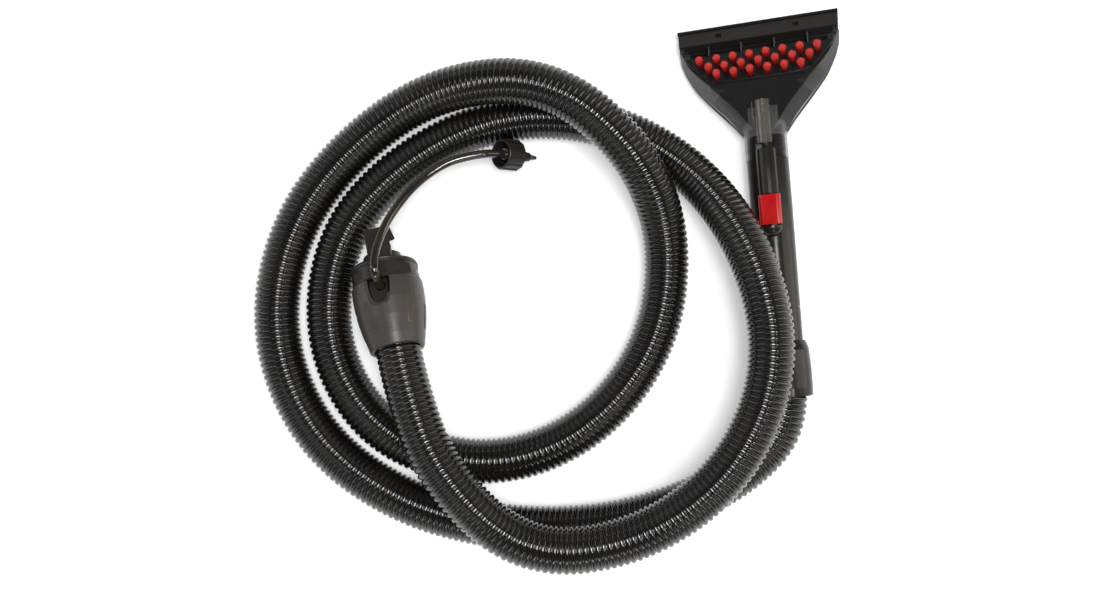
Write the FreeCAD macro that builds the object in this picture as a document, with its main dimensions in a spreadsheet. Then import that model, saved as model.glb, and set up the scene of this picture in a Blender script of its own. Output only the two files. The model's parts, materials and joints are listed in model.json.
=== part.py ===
import FreeCAD, Part
import math
import os
from FreeCAD import Placement, Rotation, Vector

# Hose-and-hand-tool assembly of a carpet and upholstery extraction cleaner.
# Millimetres.  +Z up, the floor is Z = 0.  The wand lies along Y with the tool head at +Y.
# Tool frame:      Y along the wand's axis, Z through the trigger, X to the right.
# Face frame:      the tool head's working face, Y forwards in the face, Z out of it.
# Connector frame: Y along the machine-end connector towards the machine.
# Cap frame:       Y from the mouth of the solution cap towards the tip of its probe.

doc = FreeCAD.newDocument("extraction_hand_tool")
sheet = doc.addObject("Spreadsheet::Sheet", "Dims")

DIMS = [
    ("cuff_axis_z", 24.12, "height of the wand axis at the cuff's open end"),
    ("cuff_end_y", 178.0, "distance from the origin back to the cuff's open end"),
    ("wand_roll", 16.0, "how far the resting tool has rolled to its left, degrees"),
    ("wand_pitch", 0.9, "rise of the wand axis towards the head, degrees"),
    ("wand_r", 19.5, "outside radius of the wand tube at the seam"),
    ("wand_bore_r", 15.6, "suction bore of the wand"),
    ("seam_y", 44.4, "seam between the wand and the tool head"),
    ("spigot_r", 17.5, "spigot that the head's neck slides over"),
    ("spigot_len", 21.6, "length of that spigot"),
    ("neck_r", 19.9, "outside radius of the head's neck"),
    ("neck_bore_r", 17.58, "bore of the neck, a sliding fit on the spigot"),
    ("neck_flat_z", 17.8, "height of the flat along the top of the neck"),
    ("cuff_r", 24.2, "largest radius of the hose cuff"),
    ("cuff_bore_r", 22.3, "bore of the cuff's open end"),
    ("housing_w", 18.6, "width of the valve housing"),
    ("housing_top_z", 29.8, "top of the valve housing above the axis"),
    ("housing_len", 41.6, "length of the valve housing"),
    ("trigger_w", 20.2, "width of the trigger"),
    ("trigger_len", 27.6, "length of the trigger"),
    ("trigger_top_z", 30.2, "top of the trigger above the axis"),
    ("pin_r", 1.5, "trigger pin"),
    ("pin_len", 19.6, "length of the trigger pin"),
    ("stem_r", 1.65, "valve stem"),
    ("head_w", 148.4, "width of the tool head across its lip"),
    ("face_tilt", 20.0, "tilt of the working face to the wand axis, degrees"),
    ("face_y", 178.0, "front edge of the working face along the wand axis"),
    ("face_z", 2.0, "height of that edge above the axis"),
    ("lip_len", 14.2, "depth of the lip bar along the face"),
    ("lip_thick", 8.0, "thickness of the lip bar"),
    ("blade_high", 13.6, "height of the front blade"),
    ("blade_thick", 3.2, "thickness of the front blade"),
    ("tray_thick", 3.0, "thickness of the brush tray"),
    ("tuft_base_r", 2.25, "bristle tuft at its base"),
    ("tuft_tip_r", 3.9, "bristle tuft at its splayed tip"),
    ("tuft_len", 15.4, "length of a tuft including its root"),
    ("tuft_pitch", 15.35, "pitch of the tufts along a row"),
    ("tuft_row", 8.4, "spacing of the rows"),
    ("wall", 2.3, "wall of the head's shell"),
    ("feed_r", 2.1, "spray feed tube"),
    ("hose_r", 21.0, "outside radius of the hose over its ribs"),
    ("hose_bore_r", 19.4, "mean inside radius of the hose between ribs"),
    ("line_r", 4.0, "outside radius of the solution tube"),
    ("line_bore_r", 2.7, "bore of the solution tube"),
    ("barrel_r", 33.0, "largest radius of the machine-end connector"),
    ("barrel_len", 62.0, "length of the connector's barrel"),
    ("port_bore_r", 15.5, "bore of the connector's suction port"),
    ("port_r", 17.5, "outside of the suction port's spigot"),
    ("tongue_w", 27.0, "width of the latch tongue"),
    ("cap_r", 13.9, "radius of the solution cap inside its ribs"),
    ("cap_len", 21.0, "length of the solution cap"),
    ("probe_r", 4.2, "shank of the solution probe"),
]
for row, (alias, value, note) in enumerate(DIMS, start=1):
    sheet.set("A%d" % row, alias.replace("_", " "))
    sheet.set("B%d" % row, "%g" % value)
    sheet.setAlias("B%d" % row, alias)
    sheet.set("C%d" % row, note)
doc.recompute()
D = {alias: float(sheet.get(alias)) for alias, value, note in DIMS}

# ---------------------------------------------------------------- frames

X_AXIS = Vector(1, 0, 0)
Y_AXIS = Vector(0, 1, 0)
Z_AXIS = Vector(0, 0, 1)

PIVOT = Vector(0, -D["cuff_end_y"], 0)
TOOL = (Placement(Vector(0, 0, D["cuff_axis_z"]), Rotation())
        * Placement(PIVOT, Rotation(X_AXIS, D["wand_pitch"]))
        * Placement(Vector(), Rotation(Y_AXIS, -D["wand_roll"]))
        * Placement(-PIVOT, Rotation()))
FACE = TOOL * Placement(Vector(0, D["face_y"], D["face_z"]), Rotation(X_AXIS, -D["face_tilt"]))


def frame_along(origin, direction):
    """Frame at origin whose Y runs along direction and whose X stays level."""
    y_dir = Vector(direction)
    y_dir.normalize()
    x_dir = y_dir.cross(Z_AXIS)
    x_dir.normalize()
    return Placement(origin, Rotation(x_dir, y_dir, x_dir.cross(y_dir), "XYZ"))


HOSE_EXIT = Vector(-355.3, -110.2, 50.0)
CONNECTOR = frame_along(HOSE_EXIT, Vector(-11.3, 76.8, -19.1))
CAP_MOUTH = Vector(-250.6, 66.4, 37.2)
CAP = frame_along(CAP_MOUTH, Vector(0.72, 0.01, -0.69))

# ---------------------------------------------------------------- helpers


def body(name, place):
    """An empty body with its label and placement."""
    new = doc.addObject("PartDesign::Body", name)
    new.Label = name
    new.Placement = place
    return new


def sketch(owner, role, loops, lift=0.0):
    """Closed loops on one of the body's origin planes, lifted along the plane's normal."""
    made = owner.newObject("Sketcher::SketchObject", owner.Name + "_sketch")
    plane = [f for f in owner.Origin.OriginFeatures if f.Role == role][0]
    made.AttachmentSupport = (plane, [""])
    made.MapMode = "FlatFace"
    made.AttachmentOffset = Placement(Vector(0, 0, lift), Rotation())
    for loop in loops:
        if loop[0] == "circle":
            circle = Part.Circle(Vector(loop[1], loop[2], 0), Z_AXIS, loop[3])
            made.addGeometry(circle, False)
            continue
        corners = [Vector(p[0], p[1], 0) for p in loop]
        for a, b in zip(corners, corners[1:] + corners[:1]):
            made.addGeometry(Part.LineSegment(a, b), False)
    return made


def bind(feature, prop, value):
    """A number, or an expression on the sheet."""
    if isinstance(value, str):
        feature.setExpression(prop, value)
    else:
        setattr(feature, prop, value)


def extrude(owner, kind, made, length, back=False, middle=False, through=False):
    """A pad or a pocket of a sketch."""
    feature = owner.newObject("PartDesign::" + kind, owner.Name + "_" + kind.lower())
    feature.Profile = made
    bind(feature, "Length", length)
    feature.Reversed = back
    if middle:
        feature.Midplane = True
    if through:
        feature.Type = 1
    return feature


def turn(owner, kind, made, axis="V_Axis"):
    """A full revolution or groove of a sketch about one of its own axes."""
    feature = owner.newObject("PartDesign::" + kind, owner.Name + "_" + kind.lower())
    feature.Profile = made
    feature.ReferenceAxis = (made, [axis])
    feature.Angle = 360.0
    return feature


def turned(name, place, profile):
    """A body turned about Y from (radius, y) points."""
    owner = body(name, place)
    turn(owner, "Revolution", sketch(owner, "XY_Plane", [profile]))
    return owner


def arch(half, low, top, steps=10):
    """Outline of an arch in (x, z): straight sides from low, then a half circle or flatter crown."""
    crown = [(half * math.cos(math.pi * k / steps), top - half + half * math.sin(math.pi * k / steps))
             for k in range(steps + 1)]
    return [(half, low)] + crown + [(-half, low)]


def rounded_box(half, low, top, radius, steps=5):
    """Outline in (x, z) with rounded top corners."""
    right = [(half - radius + radius * math.sin(math.pi / 2 * k / steps),
              top - radius + radius * math.cos(math.pi / 2 * k / steps)) for k in range(steps + 1)]
    left = [(-x, z) for x, z in reversed(right)]
    return [(half, low), (-half, low)] + left + right


def ring(name, place, y0, y1, r_in, r_out):
    """A plain turned ring along Y."""
    return turned(name, place, [(r_in, y0), (r_out, y0), (r_out, y1), (r_in, y1)])


def own_shape(name, shape, place):
    """A feature that keeps a shape of its own."""
    made = doc.addObject("Part::Feature", name)
    made.Label = name
    made.Shape = shape
    made.Placement = place
    return made


def prism(points, lift, height):
    """A prism over a polygon in XY."""
    wire = Part.makePolygon([Vector(p[0], p[1], lift) for p in points + points[:1]])
    return Part.Face(wire).extrude(Vector(0, 0, height))


def side_prism(points, half):
    """A prism over a polygon in YZ, centred on X = 0."""
    wire = Part.makePolygon([Vector(-half, p[0], p[1]) for p in points + points[:1]])
    return Part.Face(wire).extrude(Vector(2 * half, 0, 0))


def cylinder(radius, start, end):
    """A cylinder from one point to another."""
    return Part.makeCylinder(radius, (end - start).Length, start, end - start)


def sweep(path, radius):
    """A round bar along a wire."""
    edge = path.Edges[0]
    start = edge.valueAt(edge.FirstParameter)
    tangent = edge.tangentAt(edge.FirstParameter)
    circle = Part.Wire([Part.makeCircle(radius, start, tangent)])
    return path.makePipeShell([circle], True, True)


def arc_route(points):
    """Straight runs joined by tangent arcs; returns the wire and the arc radii."""
    edges = []
    radii = []
    last = points[0]
    for i in range(1, len(points) - 1):
        before = points[i] - points[i - 1]
        after = points[i + 1] - points[i]
        cut = 0.45 * min(before.Length, after.Length)
        angle = before.getAngle(after)
        u = Vector(before)
        u.normalize()
        w = Vector(after)
        w.normalize()
        start = points[i] - u * cut
        end = points[i] + w * cut
        radius = cut / math.tan(angle / 2)
        inward = w - u
        inward.normalize()
        middle = points[i] + inward * (radius / math.cos(angle / 2) - radius)
        edges.append(Part.LineSegment(last, start).toShape())
        edges.append(Part.Arc(start, middle, end).toShape())
        radii.append(radius)
        last = end
    edges.append(Part.LineSegment(last, points[-1]).toShape())
    return Part.Wire(edges), radii


nodes = []

# ---------------------------------------------------------------- wand

wand = turned("wand_tube", TOOL, [
    (D["wand_bore_r"], -140.0), (18.7, -140.0), (18.9, -96.4), (18.5, -96.0), (18.5, -94.8), (18.9, -94.4),
    (D["wand_r"], 0.0), (D["wand_r"], D["seam_y"]), (D["spigot_r"], D["seam_y"]),
    (D["spigot_r"], D["seam_y"] + 8.0), (D["spigot_r"] - 1.2, D["seam_y"] + 8.0),
    (D["spigot_r"] - 1.2, D["seam_y"] + 10.4), (D["spigot_r"], D["seam_y"] + 10.4),
    (D["spigot_r"], D["seam_y"] + D["spigot_len"]), (D["wand_bore_r"], D["seam_y"] + D["spigot_len"])])
extrude(wand, "Pocket", sketch(wand, "XY_Plane", [("circle", 0.0, -10.0, 3.2)]), 30.0, back=True)
nodes.append(wand)

cuff = turned("hose_cuff", TOOL, [
    (D["cuff_bore_r"], -178.0), (23.3, -178.0), (23.9, -176.8), (D["cuff_r"], -170.0), (D["cuff_r"], -152.0),
    (23.4, -135.0), (22.0, -130.0), (20.6, -126.6), (19.15, -126.6), (19.15, -139.8), (D["cuff_bore_r"], -139.8)])
nodes.append(cuff)

nodes.append(turned("hose_spigot", TOOL, [
    (15.7, -172.0), (17.3, -172.0), (17.5, -142.8), (21.9, -142.8), (21.9, -140.2), (15.7, -140.2)]))

seal = turned("neck_o_ring", TOOL, [
    (16.35, 52.6), (17.45, 52.6), (17.52, 53.0), (17.52, 54.2), (17.45, 54.6), (16.35, 54.6)])
nodes.append(seal)

UNDER = D["wand_r"] + 0.15
housing = body("valve_housing", TOOL)
half = D["housing_w"] / 2
shell = sketch(housing, "XZ_Plane", [arch(half, 8.0, D["housing_top_z"])], lift=-51.0)
extrude(housing, "Pad", shell, "Dims.housing_len")
cave = sketch(housing, "XZ_Plane", [arch(half - 2.0, 8.0, D["housing_top_z"] - 2.0)], lift=-49.0)
extrude(housing, "Pocket", cave, 37.4, back=True)
skirt = [(0.0, 0.0), (UNDER, 0.0), (UNDER, 44.2), (D["neck_r"] + 0.25, 44.2), (D["neck_r"] + 0.25, 60.0), (0.0, 60.0)]
turn(housing, "Groove", sketch(housing, "XY_Plane", [skirt]))
nodes.append(housing)

cradle = body("valve_cradle", TOOL)
block = [(-7.6, -16.9), (7.6, -16.9), (7.6, 5.7), (-7.6, 5.7)]
extrude(cradle, "Pad", sketch(cradle, "XY_Plane", [block], lift=15.0), 10.2)
turn(cradle, "Groove", sketch(cradle, "XY_Plane", [[(0.0, -30.0), (UNDER, -30.0), (UNDER, 20.0), (0.0, 20.0)]]))
extrude(cradle, "Pocket", sketch(cradle, "YZ_Plane", [("circle", 3.5, 23.2, D["pin_r"])]), 30.0, middle=True)
slot = [(-3.4, -0.6), (3.4, -0.6), (3.4, 8.8), (-3.4, 8.8)]
extrude(cradle, "Pocket", sketch(cradle, "XY_Plane", [slot], lift=19.9), 12.0, back=True)
extrude(cradle, "Pocket", sketch(cradle, "XY_Plane", [("circle", 0.0, -10.0, 4.2)]), 40.0, back=True)
nodes.append(cradle)

trigger = body("trigger", TOOL)
half = D["trigger_w"] / 2
skin = sketch(trigger, "XZ_Plane", [rounded_box(half, 21.0, D["trigger_top_z"], 4.0)], lift=-8.2)
extrude(trigger, "Pad", skin, "Dims.trigger_len")
hollow = sketch(trigger, "XZ_Plane", [rounded_box(half - 1.9, 18.0, D["trigger_top_z"] - 2.0, 2.4)], lift=-6.4)
extrude(trigger, "Pocket", hollow, 24.0, back=True)
extrude(trigger, "Pocket", sketch(trigger, "YZ_Plane", [("circle", 3.5, 23.2, D["pin_r"] + 0.06)]), 30.0, middle=True)
sweep_room = [(0.0, -30.0), (22.6, -30.0), (22.6, 20.0), (0.0, 20.0)]
turn(trigger, "Groove", sketch(trigger, "XY_Plane", [sweep_room]))
nodes.append(trigger)

pin = doc.addObject("Part::Cylinder", "trigger_pin")
pin.setExpression("Radius", "Dims.pin_r")
pin.setExpression("Height", "Dims.pin_len")
pin.Label = "trigger_pin"
pin.Placement = TOOL * Placement(Vector(-D["pin_len"] / 2, 3.5, 23.2), Rotation(Y_AXIS, 90))
nodes.append(pin)

# torsion spring: a close coil around the pin
coil = Part.makeHelix(1.05, 5.25, 2.25)
wire_circle = Part.Wire([Part.makeCircle(0.42, Vector(2.25, 0, 0), Y_AXIS)])
spring_shape = Part.Wire(coil.Edges).makePipeShell([wire_circle], True, True)
spring_place = TOOL * Placement(Vector(-2.6, 3.5, 23.2), Rotation(Y_AXIS, 90))
nodes.append(own_shape("trigger_spring", spring_shape, spring_place))

valve = body("valve_body", TOOL)
extrude(valve, "Pad", sketch(valve, "XY_Plane", [("circle", 0.0, -10.0, 4.1)], lift=19.9), 5.6)
bore = sketch(valve, "XY_Plane", [("circle", 0.0, -10.0, D["stem_r"] + 0.08)])
extrude(valve, "Pocket", bore, 40.0, back=True)
nodes.append(valve)

stem = body("valve_stem", TOOL)
extrude(stem, "Pad", sketch(stem, "XY_Plane", [("circle", 0.0, -10.0, D["stem_r"])], lift=20.2), 7.7)
extrude(stem, "Pad", sketch(stem, "XY_Plane", [("circle", 0.0, -10.0, 2.9)], lift=27.5), 0.4)
nodes.append(stem)

gland = body("valve_seal", TOOL)
annulus = [("circle", 0.0, -10.0, 3.4), ("circle", 0.0, -10.0, D["stem_r"] + 0.08)]
extrude(gland, "Pad", sketch(gland, "XY_Plane", [annulus[0], annulus[1]], lift=25.5), 0.4)
nodes.append(gland)

feed = ring("valve_feed_tube", TOOL * Placement(Vector(0, 0, 23.8), Rotation()), 11.6, 48.6, 1.2, D["feed_r"])
nodes.append(feed)

tail = body("end_cap", TOOL)
dome = [(0.0, -30.4)] + [(9.6 * math.sin(math.pi / 20 * k), -20.8 - 9.6 * math.cos(math.pi / 20 * k))
                         for k in range(1, 11)] + [(0.0, -20.8)]
dome_sketch = sketch(tail, "XY_Plane", [dome], lift=20.0)
turn(tail, "Revolution", dome_sketch)
turn(tail, "Groove", sketch(tail, "XY_Plane", [[(0.0, -40.0), (UNDER, -40.0), (UNDER, 0.0), (0.0, 0.0)]]))
nodes.append(tail)

# ---------------------------------------------------------------- tool head

CORNERS = [(74.2, 174.0), (73.4, 145.0), (62.0, 119.0), (49.5, 103.5), (33.5, 85.5), (19.6, 66.0)]


def eased(corners, steps=3):
    """The corners joined by a smooth curve, as short straight runs."""
    points = []
    ends = [corners[0]] + corners + [corners[-1]]
    for i in range(1, len(ends) - 2):
        for k in range(steps):
            t = k / steps
            weights = (-0.5 * t + t * t - 0.5 * t ** 3, 1.0 - 2.5 * t * t + 1.5 * t ** 3,
                       0.5 * t + 2.0 * t * t - 1.5 * t ** 3, -0.5 * t * t + 0.5 * t ** 3)
            points.append(tuple(sum(w * ends[i - 1 + j][axis] for j, w in enumerate(weights)) for axis in (0, 1)))
    return points + [corners[-1]]


OUTLINE = eased(CORNERS)


def whole(right):
    """A right-hand outline and its mirror image as one closed polygon."""
    return right + [(-x, y) for x, y in reversed(right)]


def inset(polygon, distance):
    """The polygon moved inwards by a distance, except along its front and back edges."""
    moved = []
    count = len(polygon)
    for i, (x, y) in enumerate(polygon):
        side = 1.0 if x > 0 else -1.0
        normals = []
        for a, b in ((polygon[i - 1], polygon[i]), (polygon[i], polygon[(i + 1) % count])):
            if abs(a[1] - b[1]) < 0.01:
                continue
            n = Vector(-(b[1] - a[1]), b[0] - a[0], 0)
            n.normalize()
            if n.x * side > 0:
                n = n * -1
            normals.append(n)
        if len(normals) == 1:
            moved.append((side * max(1.5, (x + distance / normals[0].x) * side), y))
            continue
        both = normals[0] + normals[1]
        both.normalize()
        grow = distance / both.dot(normals[0])
        moved.append((side * max(1.5, (x + both.x * grow) * side), y + both.y * grow))
    return moved


def slab(polygon, low, low_in, high, high_in):
    """A tapered slab between two heights, drawn in by different amounts."""
    wires = []
    for height, draw in ((low, low_in), (high, high_in)):
        ring_points = [Vector(p[0], p[1], height) for p in inset(polygon, draw)]
        wires.append(Part.makePolygon(ring_points + ring_points[:1]))
    return Part.makeLoft(wires, True, True)


def fan(gap):
    """The head's solid form, every face moved in by the gap."""
    base = inset(whole(OUTLINE), gap) if gap else whole(OUTLINE)
    upper = slab(base, 0.0, 0.0, 18.0, 11.6)
    lower = slab(base, -12.0 + gap, 14.4, 0.0, 0.0)
    form = upper.fuse(lower)
    tip = 174.0 - gap
    tip_z = min(-9.0 + gap, -5.1 - 0.4 * gap)
    profile = [(tip, tip_z), (171.6 - gap, -4.9 - 0.4 * gap), (158.4 - gap, 0.0 - gap), (158.4, 2.6 - gap),
               (118.2, 17.3 - gap), (60.0, 17.5 - gap), (60.0, -12.0 + gap), (110.0, -12.0 + gap)]
    return form.common(side_prism(profile, 90.0))


neck_solid = cylinder(D["neck_r"], Vector(0, D["seam_y"] + 0.3, 0), Vector(0, 98.0, 0))
flat_cut = Part.makeBox(60.0, 60.0, 20.0, Vector(-30.0, 57.0, D["neck_flat_z"]))
outer = fan(0.0).fuse(neck_solid.cut(flat_cut))
passage = cylinder(D["neck_bore_r"], Vector(0, 40.0, 0), Vector(0, 70.0, 0))
passage = passage.fuse(cylinder(15.4, Vector(0, 68.0, 0), Vector(0, 95.0, 0)))
cavity = fan(D["wall"]).common(Part.makeBox(200.0, 110.0, 60.0, Vector(-100.0, 66.4, -30.0)))
shell_shape = outer.cut(passage).cut(cavity)
mouth = Part.makeBox(137.0, 12.6, 15.0, Vector(-68.5, -30.6, -11.5))
mouth.Placement = Placement(Vector(0, D["face_y"], D["face_z"]), Rotation(X_AXIS, -D["face_tilt"])) * mouth.Placement
above = Part.makeBox(160.0, 60.0, 40.0, Vector(-80.0, -62.0, -6.1))
above.Placement = Placement(Vector(0, D["face_y"], D["face_z"]), Rotation(X_AXIS, -D["face_tilt"])) * above.Placement
lip_room = Part.makeBox(160.0, 30.0, 40.0, Vector(-80.0, -18.1, -8.15))
lip_room.Placement = above.Placement
funnel_layer = fan(D["wall"] + 0.3).cut(fan(D["wall"] + 1.5))
roof_plan = whole([(27.0, 118.2), (46.0, 103.5), (62.0, 90.0), (62.0, 74.0)])
floor_plan = whole([(64.0, 163.0), (64.0, 146.0), (43.0, 121.0), (27.0, 117.8)])
funnel_shape = funnel_layer.common(prism(roof_plan, -30.0, 60.0))
funnel_shape = funnel_shape.fuse(funnel_layer.common(prism(floor_plan, -30.0, 27.0)))
funnel_shape = funnel_shape.cut(cylinder(D["neck_r"] + 0.3, Vector(0, 60.0, 0), Vector(0, 98.2, 0)))
blade_room = Part.makeBox(160.0, 40.0, 60.0, Vector(-80.0, -3.5, -30.0))
blade_room.Placement = above.Placement
shell_shape = shell_shape.cut(mouth).cut(above).cut(lip_room).cut(blade_room)
solids = sorted(shell_shape.Solids, key=lambda s: s.Volume)
nodes.append(own_shape("head_shell", solids[-1], TOOL))
funnel_parts = sorted(funnel_shape.Solids, key=lambda s: s.Volume)
nodes.append(own_shape("suction_funnel", funnel_parts[-1], TOOL))

lip = body("lip_bar", FACE)
half = D["head_w"] / 2
back = -D["blade_thick"] - 0.3 - D["lip_len"]
plan = [(-half, -3.5), (half, -3.5), (half - 0.6, back), (-half + 0.6, back)]
extrude(lip, "Pad", sketch(lip, "XY_Plane", [plan], lift=-8.0), "Dims.lip_thick")
for side in (-1, 1):
    x = 36.0 * side
    window = [(x - 2.6, -12.6), (x + 2.6, -12.6), (x + 2.6, -7.8), (x - 2.6, -7.8)]
    extrude(lip, "Pocket", sketch(lip, "XY_Plane", [window]), 4.0)
nodes.append(lip)

blade = body("lip_blade", FACE)
section = [(-D["blade_thick"], 1.4), (-0.8, 1.4), (0.0, 0.4), (0.0, -D["blade_high"] + 2.4),
           (-1.0, -D["blade_high"] + 1.4), (-D["blade_thick"], -D["blade_high"] + 1.4)]
extrude(blade, "Pad", sketch(blade, "YZ_Plane", [section]), "Dims.head_w + 1 ", middle=True)
nodes.append(blade)

clips = []
for side in (-1, 1):
    clips.append(Part.makeBox(4.4, 3.4, 4.0, Vector(71.0 * side - 2.2, -21.8, -5.4)))
nodes.append(own_shape("lip_clips", Part.makeCompound(clips), FACE))

ROWS = [(-40.6, 8), (-40.6 - D["tuft_row"], 7), (-40.6 - 2 * D["tuft_row"], 6)]
SPOTS = [((i - (count - 1) / 2) * D["tuft_pitch"], y) for y, count in ROWS for i in range(count)]
tray = body("brush_plate", FACE)
edge = [(-67.6, -30.9), (-67.6, -33.4), (-44.6, -61.4), (44.6, -61.4), (67.6, -33.4), (67.6, -30.9)]
extrude(tray, "Pad", sketch(tray, "XY_Plane", [edge], lift=-6.0), "Dims.tray_thick")
holes = [("circle", x, y, D["tuft_base_r"] + 0.35) for x, y in SPOTS]
extrude(tray, "Pocket", sketch(tray, "XY_Plane", holes, lift=-3.0), 1.7)
nodes.append(tray)

tufts = []
for x, y in SPOTS:
    foot = Vector(x, y, -4.6)
    stalk = Part.makeCone(D["tuft_base_r"], D["tuft_tip_r"], D["tuft_len"] - 1.4, foot)
    crown = Part.makeCone(D["tuft_tip_r"], 1.9, 1.4, foot + Vector(0, 0, D["tuft_len"] - 1.4))
    tufts.append(stalk.fuse(crown))
nodes.append(own_shape("bristle_tufts", Part.makeCompound(tufts), FACE))

vanes = [Part.makeBox(1.2, 12.0, 7.0, Vector(x - 0.6, -30.3, -9.6)) for x in (-45.8, -15.3, 15.3, 45.8)]
nodes.append(own_shape("slot_vanes", Part.makeCompound(vanes), FACE))

cover = body("feed_channel_cover", TOOL)
low = D["neck_flat_z"] + 0.15
bow = [(6.8, low), (-6.8, low), (-6.8, 20.6)] + [
    (6.8 * math.cos(math.pi - math.pi / 10 * k), 20.6 + 5.0 * math.sin(math.pi / 10 * k)) for k in range(1, 10)] + [
    (6.8, 20.6)]
inner_bow = [(5.4, low - 1.0), (-5.4, low - 1.0), (-5.4, 20.6)] + [
    (5.4 * math.cos(math.pi - math.pi / 10 * k), 20.6 + 3.8 * math.sin(math.pi / 10 * k)) for k in range(1, 10)] + [
    (5.4, 20.6)]
extrude(cover, "Pad", sketch(cover, "XZ_Plane", [bow], lift=-97.5), 40.2)
extrude(cover, "Pocket", sketch(cover, "XZ_Plane", [inner_bow], lift=-99.0), 60.0, back=True)
turn(cover, "Groove", sketch(cover, "XY_Plane", [[(0.0, 50.0), (20.15, 50.0), (20.15, 57.1), (0.0, 57.1)]]))
nodes.append(cover)

SPRAY = TOOL * Placement(Vector(0, 0, 21.0), Rotation())
nodes.append(ring("spray_feed_tube", SPRAY, 57.6, 83.0, 1.2, D["feed_r"]))
ball_points = []
for centre, radius in ((88.2, 2.7), (94.0, 3.0)):
    for k in range(1, 8):
        angle = math.pi * k / 8
        ball_points.append((radius * math.sin(angle), centre - radius * math.cos(angle)))
nozzle_profile = [(0.7, 83.2), (2.5, 83.2), (2.5, 84.6), (1.7, 85.0)] + ball_points + [(1.6, 98.4), (0.7, 98.4)]
nodes.append(turned("spray_nozzle", SPRAY, nozzle_profile))
nodes.append(ring("nozzle_collar", SPRAY, 83.3, 84.5, 2.52, 3.1))

# ---------------------------------------------------------------- hose

HOSE = [
    (0.0, -143.5, 24.7), (-0.3, -191.0, 23.9), (-25.0, -231.0, 22.8), (-90.0, -268.0, 22.0),
    (-176.0, -287.0, 22.0), (-273.0, -282.0, 22.0), (-368.0, -250.0, 22.0), (-445.0, -184.0, 22.0),
    (-478.0, -86.0, 22.0), (-455.0, 14.0, 22.0), (-389.0, 90.0, 24.0), (-301.0, 135.0, 39.0),
    (-202.0, 126.0, 69.0), (-128.0, 56.0, 71.0), (-96.0, -22.0, 24.0), (-116.0, -122.0, 22.0),
    (-186.0, -199.0, 22.0), (-282.0, -226.0, 22.0), (-380.0, -191.0, 22.0), (-428.0, -103.0, 22.0),
    (-413.0, 0.0, 22.0), (-344.0, 69.0, 22.0), (-249.0, 107.0, 22.0), (-149.0, 95.0, 22.4),
    (-70.0, 42.0, 26.0), (-27.0, -47.0, 66.0), (-16.0, -148.0, 71.0), (-61.0, -239.0, 69.0),
    (-146.0, -294.0, 65.0), (-250.0, -301.0, 64.0), (-323.0, -226.0, 72.0), (-350.9, -140.0, 57.4),
    (-358.7, -87.2, 44.3)]
hose_wire, hose_radii = arc_route([Vector(*p) for p in HOSE])
hose_shape = sweep(hose_wire, D["hose_r"]).cut(sweep(hose_wire, D["hose_bore_r"]))
nodes.append(own_shape("suction_hose", hose_shape, Placement()))

# ---------------------------------------------------------------- machine-end connector

nodes.append(turned("connector_barrel", CONNECTOR, [
    (21.5, 0.0), (24.0, 0.0), (24.8, 0.8), (26.8, 9.0), (30.2, 26.0), (32.5, 42.0), (D["barrel_r"], 52.0),
    (32.8, D["barrel_len"] - 1.0), (32.0, D["barrel_len"]), (29.8, D["barrel_len"]), (29.8, 50.0),
    (27.6, 40.0), (21.5, 29.0)]))
barrel = nodes[-1]
POCKET = [(8.4, 0.0), (7.2, -8.6), (5.6, -12.0), (3.0, -14.4), (0.0, -15.2)]


def pocket_plan(grow, top):
    """The U-shaped pocket's outline in the connector frame, ending straight at top."""
    right = [(-4.0 + x + grow, 54.0 + y - (grow if y < -10 else 0.0)) for x, y in POCKET[:-1]]
    left = [(-8.0 - x, y) for x, y in reversed(right)]
    foot = [(-4.0, 54.0 + POCKET[-1][1] - grow)]
    return [(-4.0 + POCKET[0][0] + grow, top)] + right + foot + left + [(-4.0 - POCKET[0][0] - grow, top)]


extrude(barrel, "Pocket", sketch(barrel, "XY_Plane", [pocket_plan(0.4, 66.0)], lift=21.0), 30.0, back=True)
extrude(barrel, "Pocket", sketch(barrel, "XY_Plane", [pocket_plan(3.4, 66.0)], lift=28.6), 30.0, back=True)

floor_plate = body("pocket_liner", CONNECTOR)
extrude(floor_plate, "Pad", sketch(floor_plate, "XY_Plane", [pocket_plan(0.0, 61.6)], lift=21.4), 1.8)
extrude(floor_plate, "Pocket", sketch(floor_plate, "XY_Plane", [("circle", -2.1, 55.7, 4.7)], lift=30.0), 20.0)
nodes.append(floor_plate)

collar = turned("connector_collar", CONNECTOR, [
    (27.6, 62.4), (31.5, 62.4), (30.5, 76.4), (27.6, 76.4)])
panel = [(-7.0, 64.8), (7.0, 64.8), (7.0, 74.0), (-7.0, 74.0)]
extrude(collar, "Pocket", sketch(collar, "XY_Plane", [panel], lift=29.9), 6.0, back=True)
panels = collar.newObject("PartDesign::PolarPattern", "collar_panels")
panels.Originals = [collar.Tip]
panels.Axis = ([f for f in collar.Origin.OriginFeatures if f.Role == "Y_Axis"][0], [""])
panels.Angle = 360.0
panels.Occurrences = 8
collar.Tip = panels
nodes.append(collar)

nodes.append(turned("rim_seal", CONNECTOR, [
    (27.6, 76.8), (30.6, 76.8), (31.4, 77.6), (31.4, 78.6), (30.6, 79.2), (31.0, 80.0), (30.4, 81.0), (27.6, 81.0)]))

port = turned("port_plate", CONNECTOR, [
    (D["port_bore_r"], 66.0), (27.3, 66.0), (27.3, 80.6), (D["port_r"], 80.6), (D["port_r"], 92.0),
    (D["port_bore_r"], 92.0)])
nodes.append(port)

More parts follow.
